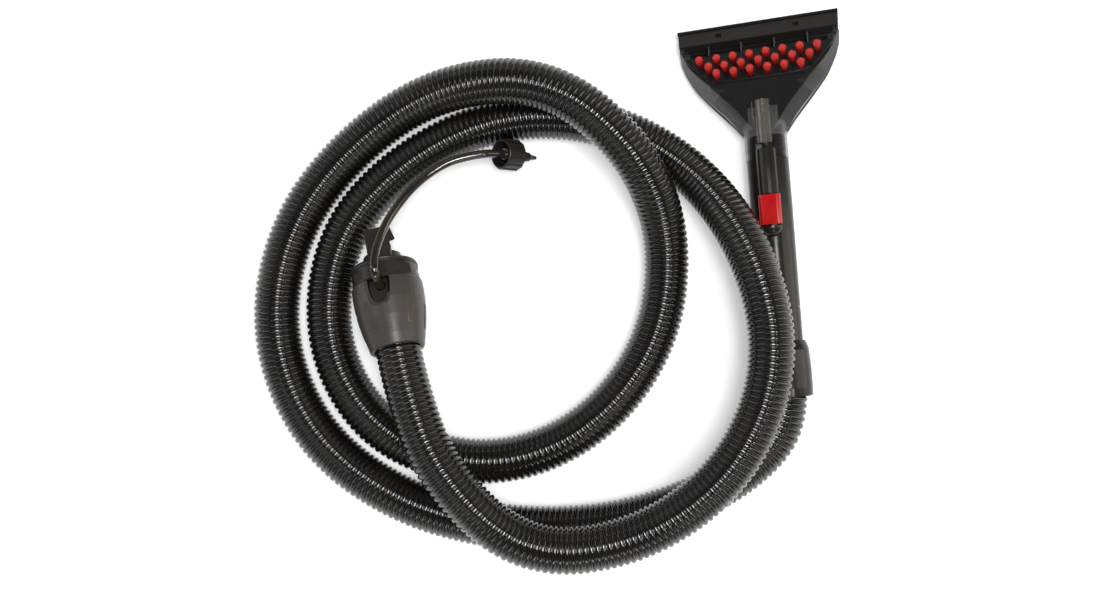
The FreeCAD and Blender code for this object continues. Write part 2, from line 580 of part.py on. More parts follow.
tongue = body("latch_tongue", CONNECTOR)
left = -9.6
right = left + D["tongue_w"]
tab = [(left, 81.0), (right - 6.4, 81.0), (right - 4.6, 92.0), (right - 5.4, 98.4), (right, 99.6),
       (right - 3.0, 112.4), (right - 8.0, 113.6), (left, 112.8)]
extrude(tongue, "Pad", sketch(tongue, "XY_Plane", [tab], lift=18.2), 3.2)
nodes.append(tongue)

nodes.append(turned("connector_spigot", CONNECTOR, [
    (15.7, -8.0), (17.3, -8.0), (17.5, 24.2), (21.0, 24.2), (21.0, 26.4), (15.7, 26.4)]))

duct_profile = [(15.7, 26.8), (17.6, 26.8), (17.6, 65.6), (15.7, 65.6)]
duct = turned("connector_duct", CONNECTOR, duct_profile)
extrude(duct, "Pocket", sketch(duct, "XY_Plane", [("circle", -1.4, 54.6, 5.0)], lift=26.0), 20.0)
nodes.append(duct)

# ---------------------------------------------------------------- solution tube and cap

LOCAL = [Vector(0.0, 24.0, 0.0), Vector(0.0, 52.0, 0.0), Vector(-4.0, 59.0, 40.0), Vector(-0.8, 80.0, 39.6)]
TUBE = [CONNECTOR.multVec(p) for p in LOCAL] + [
    Vector(-363.0, -5.0, 62.0), Vector(-352.0, 15.0, 57.0), Vector(-330.0, 41.0, 52.0),
    Vector(-302.0, 59.0, 48.5), Vector(-277.0, 64.5, 46.5)] + [
    CAP.multVec(Vector(0, -9.0, 0)), CAP.multVec(Vector(0, 10.4, 0))]
tube_wire, tube_radii = arc_route(TUBE)
tube_shape = sweep(tube_wire, D["line_r"]).cut(sweep(tube_wire, D["line_bore_r"]))
nodes.append(own_shape("solution_tube", tube_shape, Placement()))

INNER = [Vector(*p) for p in HOSE]
line_wire, line_radii = arc_route(INNER)
line_shape = sweep(line_wire, D["line_r"]).cut(sweep(line_wire, D["line_bore_r"]))
nodes.append(own_shape("inner_solution_line", line_shape, Placement()))

cap = turned("solution_cap", CAP, [
    (11.9, 0.0), (13.2, 0.0), (D["cap_r"], 0.8), (D["cap_r"], D["cap_len"] - 1.6),
    (D["cap_r"] - 1.6, D["cap_len"]), (4.6, D["cap_len"]), (4.6, D["cap_len"] - 2.6), (11.9, D["cap_len"] - 2.6)])
rib = [(-1.5, 13.0), (1.5, 13.0), (1.1, 14.8), (-1.1, 14.8)]
extrude(cap, "Pad", sketch(cap, "XZ_Plane", [rib], lift=-(D["cap_len"] - 2.4)), 16.4)
ribs = cap.newObject("PartDesign::PolarPattern", "cap_ribs")
ribs.Originals = [cap.Tip]
ribs.Axis = ([f for f in cap.Origin.OriginFeatures if f.Role == "Y_Axis"][0], [""])
ribs.Angle = 360.0
ribs.Occurrences = 12
cap.Tip = ribs
nodes.append(cap)

nodes.append(turned("solution_probe", CAP, [
    (1.3, -1.0), (2.6, -1.0), (2.6, 11.0), (4.2, 11.0), (4.2, 15.6), (8.4, 15.6), (8.4, 18.0), (D["probe_r"], 18.0),
    (D["probe_r"], 26.0), (3.3, 26.0), (3.3, 27.8), (D["probe_r"], 27.8), (D["probe_r"], 30.0), (3.3, 30.0),
    (3.3, 31.8), (D["probe_r"], 31.8), (D["probe_r"], 35.0), (2.6, 38.0), (1.7, 44.6), (1.3, 44.6)]))

rings = []
for y in (26.9, 30.9):
    rings.append(Part.makeTorus(4.0, 0.65, Vector(0, y, 0), Y_AXIS))
nodes.append(own_shape("probe_o_rings", Part.makeCompound(rings), CAP))
nodes.append(ring("tube_clamp", CAP, 4.4, 7.0, 4.3, 5.4))

# ---------------------------------------------------------------- checks and files

doc.recompute()
os.makedirs("parts", exist_ok=True)
for item in doc.Objects:
    if "Invalid" in item.State or "Error" in item.State:
        raise RuntimeError("%s did not compute: %s" % (item.Name, item.State))
lowest = 1e9
for item in nodes:
    shape = item.Shape
    if shape.isNull() or not shape.isValid() or not shape.Solids:
        raise RuntimeError("bad shape: " + item.Label)
    lowest = min(lowest, shape.BoundBox.ZMin)
    shape.exportStep("parts/%s.step" % item.Label)
    print("%-22s %3d solid(s) %12.1f mm3  z from %.2f" % (
        item.Label, len(shape.Solids), shape.Volume, shape.BoundBox.ZMin))
ring_area = math.pi * (D["hose_r"] ** 2 - D["hose_bore_r"] ** 2)
print("hose length %.0f mm, volume over section x length %.4f" % (
    hose_wire.Length, hose_shape.Volume / (ring_area * hose_wire.Length)))
print("hose radii " + " ".join("%.0f" % r for r in hose_radii))
print("tube length %.0f mm, radii " % tube_wire.Length + " ".join("%.0f" % r for r in tube_radii))
print("lowest point %.3f" % lowest)
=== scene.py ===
import json
import math
import random

import bpy
import numpy as np
from mathutils import Matrix, Vector


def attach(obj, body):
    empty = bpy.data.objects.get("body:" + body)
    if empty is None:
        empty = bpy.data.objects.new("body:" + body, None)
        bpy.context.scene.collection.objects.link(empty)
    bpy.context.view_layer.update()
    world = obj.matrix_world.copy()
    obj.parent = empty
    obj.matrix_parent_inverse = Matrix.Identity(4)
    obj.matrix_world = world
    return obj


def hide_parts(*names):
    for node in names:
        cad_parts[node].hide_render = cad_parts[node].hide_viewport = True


# Looks of a hose-and-hand-tool assembly of a carpet and upholstery extraction cleaner.
# Metres, in the CAD part's frame: +Y along the wand towards the tool head, +Z up, floor at 0.

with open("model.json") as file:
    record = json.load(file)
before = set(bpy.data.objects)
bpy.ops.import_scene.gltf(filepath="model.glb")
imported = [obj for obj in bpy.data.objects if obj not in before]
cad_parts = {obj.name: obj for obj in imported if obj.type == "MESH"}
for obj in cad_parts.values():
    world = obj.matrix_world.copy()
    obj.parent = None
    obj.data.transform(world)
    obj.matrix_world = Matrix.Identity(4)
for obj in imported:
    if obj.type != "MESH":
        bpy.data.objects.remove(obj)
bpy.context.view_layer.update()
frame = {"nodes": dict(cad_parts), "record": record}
nodes = frame["nodes"]
MM = 0.001

# ---------------------------------------------------------------- frames, as in the part

PIVOT = Vector((0, -178, 0)) * MM
TOOL = (Matrix.Translation((0, 0, 24.12 * MM)) @ Matrix.Translation(PIVOT)
        @ Matrix.Rotation(math.radians(0.9), 4, "X") @ Matrix.Rotation(math.radians(-16), 4, "Y")
        @ Matrix.Translation(-PIVOT))
FACE = TOOL @ Matrix.Translation(Vector((0, 178, 2)) * MM) @ Matrix.Rotation(math.radians(-20), 4, "X")


def frame_along(origin, direction):
    """Frame at origin, in mm, whose Y runs along direction and whose X stays level."""
    y_dir = Vector(direction).normalized()
    x_dir = y_dir.cross(Vector((0, 0, 1))).normalized()
    z_dir = x_dir.cross(y_dir)
    turn = Matrix((x_dir, y_dir, z_dir)).transposed().to_4x4()
    return Matrix.Translation(Vector(origin) * MM) @ turn


CONNECTOR = frame_along((-355.3, -110.2, 50.0), (-11.3, 76.8, -19.1))
CAP = frame_along((-250.6, 66.4, 37.2), (0.72, 0.01, -0.69))


def at(place, x, y, z):
    """A point given in mm in one of the frames."""
    return place @ (Vector((x, y, z)) * MM)


# ---------------------------------------------------------------- camera

EYE = Vector((-0.2187, -0.1371, 0.9477))
FORWARD = Vector((0.00493, 0.06958, -0.99756))
PICTURE_UP = Vector((0.07045, 0.99508, 0.06976))
SENSOR_WIDTH = 36.0
LENS = 32.29


def make_camera():
    """The photograph's viewpoint: nearly straight down from 0.95 m."""
    data = bpy.data.cameras.new("camera")
    data.sensor_width = SENSOR_WIDTH
    data.lens = LENS
    data.clip_start = 0.01
    camera = bpy.data.objects.new("camera", data)
    bpy.context.scene.collection.objects.link(camera)
    right = FORWARD.cross(PICTURE_UP).normalized()
    up = right.cross(FORWARD).normalized()
    turn = Matrix((right, up, -FORWARD.normalized())).transposed().to_4x4()
    camera.matrix_world = Matrix.Translation(EYE) @ turn
    bpy.context.scene.camera = camera


make_camera()

# ---------------------------------------------------------------- routes, as in the part

HOSE_ROUTE = [Vector(p) * MM for p in (
    (0.0, -143.5, 24.7), (-0.3, -191.0, 23.9), (-25.0, -231.0, 22.8), (-90.0, -268.0, 22.0),
    (-176.0, -287.0, 22.0), (-273.0, -282.0, 22.0), (-368.0, -250.0, 22.0), (-445.0, -184.0, 22.0),
    (-478.0, -86.0, 22.0), (-455.0, 14.0, 22.0), (-389.0, 90.0, 24.0), (-301.0, 135.0, 39.0),
    (-202.0, 126.0, 69.0), (-128.0, 56.0, 71.0), (-96.0, -22.0, 24.0), (-116.0, -122.0, 22.0),
    (-186.0, -199.0, 22.0), (-282.0, -226.0, 22.0), (-380.0, -191.0, 22.0), (-428.0, -103.0, 22.0),
    (-413.0, 0.0, 22.0), (-344.0, 69.0, 22.0), (-249.0, 107.0, 22.0), (-149.0, 95.0, 22.4),
    (-70.0, 42.0, 26.0), (-27.0, -47.0, 66.0), (-16.0, -148.0, 71.0), (-61.0, -239.0, 69.0),
    (-146.0, -294.0, 65.0), (-250.0, -301.0, 64.0), (-323.0, -226.0, 72.0), (-350.9, -140.0, 57.4),
    (-358.7, -87.2, 44.3))]
TUBE_ROUTE = [at(CONNECTOR, *p) for p in (
    (0.0, 24.0, 0.0), (0.0, 52.0, 0.0), (-4.0, 59.0, 40.0), (-0.8, 80.0, 39.6))]
TUBE_ROUTE += [Vector(p) * MM for p in (
    (-363.0, -5.0, 62.0), (-352.0, 15.0, 57.0), (-330.0, 41.0, 52.0), (-302.0, 59.0, 48.5),
    (-277.0, 64.5, 46.5))]
TUBE_ROUTE += [at(CAP, 0.0, -9.0, 0.0), at(CAP, 0.0, 10.4, 0.0)]


def route_curve(name, points, radius=0.0, resolution=16):
    """A smooth open curve whose control points are the route's points."""
    data = bpy.data.curves.new(name, "CURVE")
    data.dimensions = "3D"
    spline = data.splines.new("NURBS")
    spline.points.add(len(points) - 1)
    for point, place in zip(spline.points, points):
        point.co = (*place, 1.0)
    spline.order_u = 3
    spline.use_endpoint_u = True
    spline.resolution_u = resolution
    data.bevel_depth = radius
    data.bevel_resolution = 8
    data.use_fill_caps = True
    made = bpy.data.objects.new(name, data)
    bpy.context.scene.collection.objects.link(made)
    return made


def line_of(points, step):
    """Evenly spaced points along the smooth curve through a route, as an array."""
    guide = route_curve("guide", points, resolution=40)
    flat = bpy.data.meshes.new_from_object(guide)
    raw = np.array([v.co for v in flat.vertices])
    bpy.data.objects.remove(guide)
    bpy.data.meshes.remove(flat)
    if np.linalg.norm(raw[0] - np.array(points[0])) > 1e-4:
        raw = raw[::-1]
    along = np.concatenate([[0], np.cumsum(np.linalg.norm(np.diff(raw, axis=0), axis=1))])
    count = int(round(along[-1] / step))
    wanted = np.linspace(0, along[-1], count + 1)
    return np.stack([np.interp(wanted, along, raw[:, k]) for k in range(3)], axis=1), wanted


def carried_frames(line):
    """Two directions square to a line at each of its points, carried along without twist."""
    tangents = np.gradient(line, axis=0)
    for _ in range(3):
        tangents[1:-1] = (tangents[:-2] + 2 * tangents[1:-1] + tangents[2:]) / 4
    tangents /= np.linalg.norm(tangents, axis=1)[:, None]
    side = np.cross(tangents[0], [0, 0, 1.0])
    side /= np.linalg.norm(side)
    sides = []
    for t in tangents:
        side = side - t * side.dot(t)
        side /= np.linalg.norm(side)
        sides.append(side)
    sides = np.array(sides)
    return sides, np.cross(tangents, sides)


def mesh_object(name, verts, faces, smooth=True):
    """A mesh object linked to the scene."""
    data = bpy.data.meshes.new(name)
    data.from_pydata([tuple(v) for v in verts], [], faces)
    data.update()
    if smooth:
        data.polygons.foreach_set("use_smooth", [True] * len(data.polygons))
    made = bpy.data.objects.new(name, data)
    bpy.context.scene.collection.objects.link(made)
    return made


def tube_mesh(name, line, radii, sides=36):
    """A tube around a line with its own radius at each point."""
    across, over = carried_frames(line)
    angles = np.linspace(0, 2 * math.pi, sides, endpoint=False)
    cosines = np.cos(angles)[None, :, None]
    sines = np.sin(angles)[None, :, None]
    ring = across[:, None, :] * cosines + over[:, None, :] * sines
    verts = (line[:, None, :] + ring * np.array(radii)[:, None, None]).reshape(-1, 3)
    faces = []
    for i in range(len(line) - 1):
        for k in range(sides):
            a = i * sides + k
            b = i * sides + (k + 1) % sides
            faces.append((a, b, b + sides, a + sides))
    return mesh_object(name, verts, faces)


RIB_PITCH = 5.45 * MM
RIB_RINGS = 8
HOSE_RADIUS = 20.9 * MM
RIB_UNEVEN = 0.12 * MM
# how far the wall lies inside the crest, over one rib from groove to groove
RIB_PROFILE = [1.9 * MM, 1.25 * MM, 0.32 * MM, 0.05 * MM, 0.0, 0.05 * MM, 0.32 * MM, 1.25 * MM]


def make_hose():
    """The corrugated hose: one rounded rib after another along the route."""
    line, along = line_of(HOSE_ROUTE, RIB_PITCH / RIB_RINGS)
    rng = random.Random(4)
    wobble = [rng.uniform(-RIB_UNEVEN, RIB_UNEVEN) for _ in range(len(line) // RIB_RINGS + 2)]
    radii = []
    for i in range(len(line)):
        rib = i // RIB_RINGS
        radii.append(HOSE_RADIUS + min(0.0, wobble[rib]) - RIB_PROFILE[i % RIB_RINGS])
    return tube_mesh("corrugated_hose", line, radii), line[::RIB_RINGS], along[-1]


# ---------------------------------------------------------------- materials


class Paint:
    """A small wrapper that builds one procedural material."""

    def __init__(self, name):
        self.material = bpy.data.materials.new(name)
        self.material.use_nodes = True
        self.tree = self.material.node_tree
        self.shader = self.tree.nodes["Principled BSDF"]
        self.place = self.tree.nodes.new("ShaderNodeTexCoord").outputs["Object"]

    def stretched(self, scale, angle=(0, 0, 0)):
        """Object coordinates scaled by three numbers, and turned first."""
        turn = self.tree.nodes.new("ShaderNodeMapping")
        turn.inputs["Scale"].default_value = scale
        turn.inputs["Rotation"].default_value = angle
        self.tree.links.new(self.place, turn.inputs["Vector"])
        return turn.outputs["Vector"]

    def height(self, place, low, high, way=(0, 0, 1)):
        """How far a point stands along one of a frame's axes, 0 at low and 1 at high."""
        axis = (place.to_3x3() @ Vector(way)).normalized()
        start = axis.dot(place.translation)
        reach = self.tree.nodes.new("ShaderNodeVectorMath")
        reach.operation = "DOT_PRODUCT"
        reach.inputs[1].default_value = axis
        self.tree.links.new(self.place, reach.inputs[0])
        return self.range(reach.outputs["Value"], 0.0, 1.0, start + low, start + high)

    def noise(self, scale, detail=3.0, vector=None, rough=0.55):
        """A noise value."""
        made = self.tree.nodes.new("ShaderNodeTexNoise")
        made.inputs["Scale"].default_value = scale
        made.inputs["Detail"].default_value = detail
        made.inputs["Roughness"].default_value = rough
        self.tree.links.new(vector or self.place, made.inputs["Vector"])
        return made.outputs["Fac"]

    def ramp(self, value, stops):
        """A colour ramp over a value; stops are (position, rgb)."""
        made = self.tree.nodes.new("ShaderNodeValToRGB")
        elements = made.color_ramp.elements
        while len(elements) < len(stops):
            elements.new(0.5)
        for element, (position, colour) in zip(elements, stops):
            element.position = position
            element.color = (*colour, 1.0)
        self.tree.links.new(value, made.inputs["Fac"])
        return made.outputs["Color"]

    def range(self, value, low, high, start=0.3, end=0.7):
        """The value spread between two numbers."""
        made = self.tree.nodes.new("ShaderNodeMapRange")
        made.inputs["From Min"].default_value = start
        made.inputs["From Max"].default_value = end
        made.inputs["To Min"].default_value = low
        made.inputs["To Max"].default_value = high
        self.tree.links.new(value, made.inputs["Value"])
        return made.outputs["Result"]

    def add(self, a, b, kind="ADD"):
        """Two values joined."""
        made = self.tree.nodes.new("ShaderNodeMath")
        made.operation = kind
        self.tree.links.new(a, made.inputs[0])
        self.tree.links.new(b, made.inputs[1])
        return made.outputs[0]

    def bump(self, value, distance, strength=1.0):
        """A bump from a height value, distance in metres."""
        made = self.tree.nodes.new("ShaderNodeBump")
        made.inputs["Distance"].default_value = distance
        made.inputs["Strength"].default_value = strength
        self.tree.links.new(value, made.inputs["Height"])
        self.tree.links.new(made.outputs["Normal"], self.shader.inputs["Normal"])

    def into(self, socket, value):
        """A link or a plain number on one of the shader's sockets."""
        if hasattr(value, "is_output"):
            self.tree.links.new(value, self.shader.inputs[socket])
        else:
            self.shader.inputs[socket].default_value = value


def shade(colour, factor):
    """A colour made lighter or darker."""
    return tuple(min(1.0, c * factor) for c in colour)


def plastic(name, colour, low_rough, high_rough, grain=900.0, grain_depth=0.00002, mottling=0.16,
            scratches=0.05, coat=0.0, coat_rough=0.1, dust=0.0, shine=0.5):
    """Moulded plastic: mottled colour, handled gloss, fine scratches and a moulded grain."""
    paint = Paint(name)
    clouds = paint.noise(38.0, 4.0)
    stops = [(0.25, shade(colour, 1 - mottling)), (0.55, colour), (0.8, shade(colour, 1 + mottling))]
    if dust:
        stops.append((0.97, shade(colour, 1 + mottling + dust)))
    paint.into("Base Color", paint.ramp(clouds, stops))
    smudges = paint.range(paint.noise(75.0, 5.0), low_rough, high_rough)
    lines = paint.noise(1.0, 2.0, paint.stretched((900.0, 26.0, 900.0), (0.2, 0.1, 0.5)))
    wear = paint.range(lines, 0.0, scratches, 0.6, 0.75)
    paint.into("Roughness", paint.add(smudges, wear))
    paint.bump(paint.noise(grain, 2.0), grain_depth)
    paint.into("Coat Weight", coat)
    paint.into("Coat Roughness", coat_rough)
    paint.into("IOR", 1.5)
    paint.into("Specular IOR Level", shine)
    return paint


DARK = plastic("dark_plastic", (0.016, 0.0138, 0.011), 0.15, 0.24, dust=0.5, shine=0.3).material
CONNECTOR_GREY = plastic("connector_plastic", (0.058, 0.051, 0.045), 0.30, 0.42, grain=1400.0,
                         grain_depth=0.00003, dust=0.4).material
COLLAR_GREY = plastic("collar_plastic", (0.026, 0.0225, 0.0195), 0.26, 0.38, grain=1400.0,
                      grain_depth=0.00003, dust=0.4).material
BLACK = plastic("black_plastic", (0.008, 0.008, 0.008), 0.28, 0.40, shine=0.3).material
SATIN = plastic("satin_plastic", (0.018, 0.015, 0.0135), 0.40, 0.52, grain=1600.0,
                grain_depth=0.00003).material
RED = plastic("red_plastic", (0.50, 0.006, 0.007), 0.10, 0.18, mottling=0.1, coat=0.2,
              scratches=0.06).material
RUBBER = plastic("rubber", (0.014, 0.013, 0.013), 0.5, 0.7, grain=2200.0).material


def hose_paint():
    """Glossy black hose with a brownish cast, dusty patches and fine draw marks."""
    paint = Paint("hose_black")
    clouds = paint.noise(22.0, 5.0)
    paint.into("Base Color", paint.ramp(clouds, [
        (0.3, (0.004, 0.0036, 0.0032)), (0.55, (0.007, 0.006, 0.005)), (0.8, (0.017, 0.0135, 0.010))]))
    smudges = paint.range(paint.noise(60.0, 5.0), 0.08, 0.15)
    specks = paint.range(paint.noise(420.0, 2.0), 0.0, 0.06, 0.55, 0.75)
    paint.into("Roughness", paint.add(smudges, specks))
    paint.bump(paint.noise(220.0, 2.0), 0.00003, 0.4)
    paint.into("IOR", 1.52)
    paint.into("Specular IOR Level", 0.75)
    return paint.material


# span along the tool, in metres, over which the smoke goes from its alpha to lip_alpha
LIP_OPAQUE_SPAN = (90 * MM, 150 * MM)


def smoke_paint(name, colour, alpha, rough, lip_alpha=None):
    """Smoked see-through moulding with faint flow lines, more opaque towards the lip if lip_alpha is given.
    """
    paint = Paint(name)
    flow = paint.noise(1.0, 3.0, paint.stretched((60.0, 18.0, 60.0)))
    paint.into("Base Color", paint.ramp(flow, [(0.3, shade(colour, 0.85)), (0.7, shade(colour, 1.15))]))
    paint.into("Roughness", paint.range(paint.noise(90.0, 4.0), rough, rough + 0.1))
    if lip_alpha:
        towards_lip = paint.height(TOOL, *LIP_OPAQUE_SPAN, way=(0, 1, 0))
        paint.into("Alpha", paint.range(towards_lip, alpha, lip_alpha, 0.0, 1.0))
    else:
        paint.into("Alpha", alpha)
    paint.into("IOR", 1.5)
    paint.into("Specular IOR Level", 1.0)
    paint.bump(paint.noise(160.0, 2.0), 0.00001)
    paint.material.surface_render_method = "BLENDED"
    return paint.material


def metal_paint(name, colour, rough):
    """Bright metal with drawn lines."""
    paint = Paint(name)
    lines = paint.noise(1.0, 3.0, paint.stretched((2500.0, 120.0, 2500.0)))
    paint.into("Base Color", paint.ramp(lines, [(0.3, shade(colour, 0.8)), (0.7, colour)]))
    paint.into("Roughness", paint.range(lines, rough, rough + 0.15))
    paint.into("Metallic", 1.0)
    paint.bump(lines, 0.00002)
    return paint.material


def bristle_paint():
    """Red nylon filament, with painted shade at its foot and a painted highlight towards its tip."""
    paint = Paint("red_bristle")
    streaks = paint.noise(700.0, 3.0)
    foot_shade_tip_highlight = paint.add(paint.height(FACE, -2.0 * MM, 11.0 * MM), paint.range(streaks, -0.12, 0.12))
    # painted shade low down among the tufts, rising to a painted highlight at their tips
    paint.into("Base Color", paint.ramp(foot_shade_tip_highlight, [
        (0.1, (0.17, 0.004, 0.003)), (0.55, (0.62, 0.018, 0.014)), (0.82, (0.80, 0.045, 0.035)),
        (0.97, (0.90, 0.13, 0.10))]))
    paint.into("Roughness", paint.range(paint.noise(1500.0, 2.0), 0.38, 0.55))
    paint.into("Subsurface Weight", 0.12)
    paint.into("Subsurface Radius", (0.002, 0.0006, 0.0004))
    paint.bump(streaks, 0.00005)
    return paint.material


def tube_paint():
    """Dark glossy skin of the solution tube, slightly yellow."""
    paint = Paint("smoke_vinyl")
    flow = paint.noise(45.0, 3.0)
    paint.into("Base Color", paint.ramp(flow, [(0.3, (0.020, 0.016, 0.009)), (0.7, (0.042, 0.034, 0.020))]))
    paint.into("Roughness", paint.range(paint.noise(120.0, 3.0), 0.05, 0.14))
    paint.into("Transmission Weight", 0.25)
    paint.into("Coat Weight", 1.0)
    paint.into("Coat Roughness", 0.04)
    paint.into("IOR", 1.42)
    paint.bump(paint.noise(160.0, 2.0), 0.00004)
    return paint.material


HOSE_BLACK = hose_paint()
SMOKE = smoke_paint("smoke_plastic", (0.021, 0.020, 0.020), 0.46, 0.07, 0.86)
# the cover's smoke colour is several times lighter than the head's smoke: a painted sheen for the
# highlights on the neck's cover
SHEENED_COVER_SMOKE = smoke_paint("cover_smoke_painted_sheen", (0.120, 0.112, 0.095), 0.55, 0.08)
CLEAR = smoke_paint("clear_vinyl", (0.55, 0.54, 0.50), 0.45, 0.12)
STEEL = metal_paint("steel", (0.62, 0.61, 0.60), 0.22)
BRIGHT = metal_paint("bright_metal", (0.85, 0.84, 0.80), 0.1)
BRISTLE = bristle_paint()
TUBE_SKIN = tube_paint()
PAINTS = {
    "dark_plastic": DARK, "black_plastic": BLACK, "red_plastic": RED, "red_bristle": BRISTLE,
    "satin_plastic": SATIN, "smoke_plastic": SMOKE, "hose_black": HOSE_BLACK, "smoke_vinyl": TUBE_SKIN,
    "clear_vinyl": CLEAR, "steel": STEEL, "bright_metal": BRIGHT, "rubber": RUBBER}
OWN_PAINTS = {
    "connector_barrel": CONNECTOR_GREY, "connector_collar": COLLAR_GREY, "port_plate": COLLAR_GREY,
    "pocket_liner": COLLAR_GREY, "latch_tongue": COLLAR_GREY, "rim_seal": COLLAR_GREY,
    "feed_channel_cover": SHEENED_COVER_SMOKE, "solution_cap": SATIN}
SLOTS = {part["node"]: part["material_slot"] for part in frame["record"]["subparts"]}


def paint_over(piece, material):
    """One material over the whole piece."""
    piece.data.materials.clear()
    piece.data.materials.append(material)


def dress_nodes():
    """Every CAD node gets its own material."""
    for name, node in nodes.items():
        paint_over(node, OWN_PAINTS.get(name, PAINTS[SLOTS[name]]))


def add_piece(piece, body, material):
    """A new piece: its body and its material."""
    paint_over(piece, material)
    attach(piece, body)
    return piece


def soften(node, width, turn=50):
    """A small round on a node's edges that turn by more than turn degrees; width in mm."""
    rounder = node.modifiers.new("soft_edges", "BEVEL")
    rounder.width = width * MM
    rounder.segments = 3
    rounder.limit_method = "ANGLE"
    rounder.angle_limit = math.radians(turn)
    rounder.harden_normals = True


BODIES = frame["record"]["behaviour"]["bodies"]
BODY_OF = {node: body for body, members in BODIES.items() for node in members}

soften(nodes["trigger"], 0.9)
dress_nodes()

# ---------------------------------------------------------------- cords

WAND = BODY_OF["suction_hose"]

LINE_RADIUS = 4.0 * MM
CORE_RADIUS = 2.9 * MM

hose, hose_line, hose_length = make_hose()
add_piece(hose, WAND, HOSE_BLACK)
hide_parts("suction_hose")

inner = add_piece(route_curve("inner_line", HOSE_ROUTE, LINE_RADIUS), WAND, TUBE_SKIN)
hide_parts("inner_solution_line")

tube_line, tube_along = line_of(TUBE_ROUTE, 2 * MM)
tube = add_piece(route_curve("solution_tube_skin", TUBE_ROUTE, LINE_RADIUS), WAND,
                 TUBE_SKIN)
core = add_piece(route_curve("solution_tube_core", TUBE_ROUTE, CORE_RADIUS), WAND, BLACK)
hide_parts("solution_tube")

# ---------------------------------------------------------------- brush

HEAD = BODY_OF["head_shell"]
TUFT_ROWS = [(-40.6, 8), (-49.0, 7), (-57.4, 6)]
TUFT_PITCH = 15.35
TUFT_FOOT = -4.4
TUFT_TOP = 10.7
FILAMENTS = 64
FILAMENT_RADIUS = 0.32
FOOT_SPREAD = 1.95
LEAN = 0.95
BEND = 0.75
SWAY = 0.5
JITTER = 0.15
CROWN_DROP = 1.9
UNEVEN_TIPS = 0.5
GOLDEN_TURN = 2.39996


def filament(verts, faces, foot, lean, bend, radius, length, sides=5, rings=5):
    """One bristle: a thin tapered tube that bends outwards towards its rounded tip."""
    start = len(verts)
    for i in range(rings + 1):
        t = i / rings
        centre = foot + Vector((lean.x * t + bend.x * t * t, lean.y * t + bend.y * t * t, length * t))
        size = radius * (1.0 if i < rings else 0.55)
        for k in range(sides):
            turn = 2 * math.pi * k / sides
            verts.append(centre + Vector((size * math.cos(turn), size * math.sin(turn), 0)))
    for i in range(rings):
        for k in range(sides):
            a = start + i * sides + k
            b = start + i * sides + (k + 1) % sides
            faces.append((a, b, b + sides, a + sides))
    faces.append(tuple(start + rings * sides + k for k in range(sides)))


def make_bristles():
    """Twenty-one splayed tufts in three staggered rows."""
    rng = random.Random(21)
    verts = []
    faces = []
    for row_y, count in TUFT_ROWS:
        for i in range(count):
            foot = Vector(((i - (count - 1) / 2) * TUFT_PITCH, row_y, TUFT_FOOT))
            sway = Vector((rng.uniform(-SWAY, SWAY), rng.uniform(-SWAY, SWAY)))
            for k in range(FILAMENTS):
                out = math.sqrt((k + 0.5) / FILAMENTS)
                turn = GOLDEN_TURN * k
                spot = Vector((math.cos(turn), math.sin(turn))) * out
                base = foot + Vector((spot.x * FOOT_SPREAD, spot.y * FOOT_SPREAD, 0))
                lean = spot * LEAN + sway
                bend = spot * BEND + Vector((rng.uniform(-JITTER, JITTER), rng.uniform(-JITTER, JITTER)))
                drop = CROWN_DROP * out * out + rng.uniform(0, UNEVEN_TIPS)
                filament(verts, faces, base, lean, bend, FILAMENT_RADIUS, TUFT_TOP - TUFT_FOOT - drop)
    return mesh_object("tuft_bristles", [FACE @ (v * MM) for v in verts], faces)


bristles = add_piece(make_bristles(), HEAD, BRISTLE)
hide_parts("bristle_tufts")

# ---------------------------------------------------------------- connector details

BARREL_PROFILE = [(24.8, 0.8), (26.8, 9.0), (30.2, 26.0), (32.5, 42.0), (33.0, 52.0), (32.8, 61.0)]


def barrel_radius(t):
    """The barrel's outside radius at a distance along it, in mm."""
    for (r0, t0), (r1, t1) in zip(BARREL_PROFILE, BARREL_PROFILE[1:]):
        if t <= t1:
            return r0 + (r1 - r0) * (t - t0) / (t1 - t0)
    return BARREL_PROFILE[-1][0]


def lozenge(angle, start, end, half=3.6, high=0.55):
    """A raised long oval grip on the barrel, following its surface."""
    along_steps = 26
    across_steps = 10
    verts = []
    faces = []
    for i in range(along_steps + 1):
        t = start + (end - start) * i / along_steps
        reach = min(t - start, end - t)
        width = half * math.sqrt(max(0.02, 1 - max(0.0, 1 - reach / half) ** 2))
        for k in range(across_steps + 1):
            u = -1 + 2 * k / across_steps
            edge = min(1.0, (1 - abs(u)) * width / 0.7, max(0.0, reach) / 0.7 + 0.05)
            rise = -0.35 + (high + 0.35) * math.sin(math.pi / 2 * edge)
            radius = barrel_radius(t) + rise
            turn = angle + u * width / radius
            verts.append(at(CONNECTOR, radius * math.sin(turn), t, radius * math.cos(turn)))
    for i in range(along_steps):
        for k in range(across_steps):
            a = i * (across_steps + 1) + k
            faces.append((a, a + 1, a + across_steps + 2, a + across_steps + 1))
    return verts, faces


def joined(name, parts):
    """Several lists of vertices and faces as one mesh object."""
    verts = []
    faces = []
    for part_verts, part_faces in parts:
        start = len(verts)
        verts += part_verts
        faces += [tuple(i + start for i in face) for face in part_faces]
    return mesh_object(name, verts, faces)


# short and long grips take turns round the barrel
GRIP_SPANS = [(13.0, 38.0), (15.0, 54.0)] * 4
GRIPS = [lozenge(math.radians(-2 + 45 * k), *span) for k, span in enumerate(GRIP_SPANS)]
add_piece(joined("barrel_grips", GRIPS), WAND, CONNECTOR_GREY)


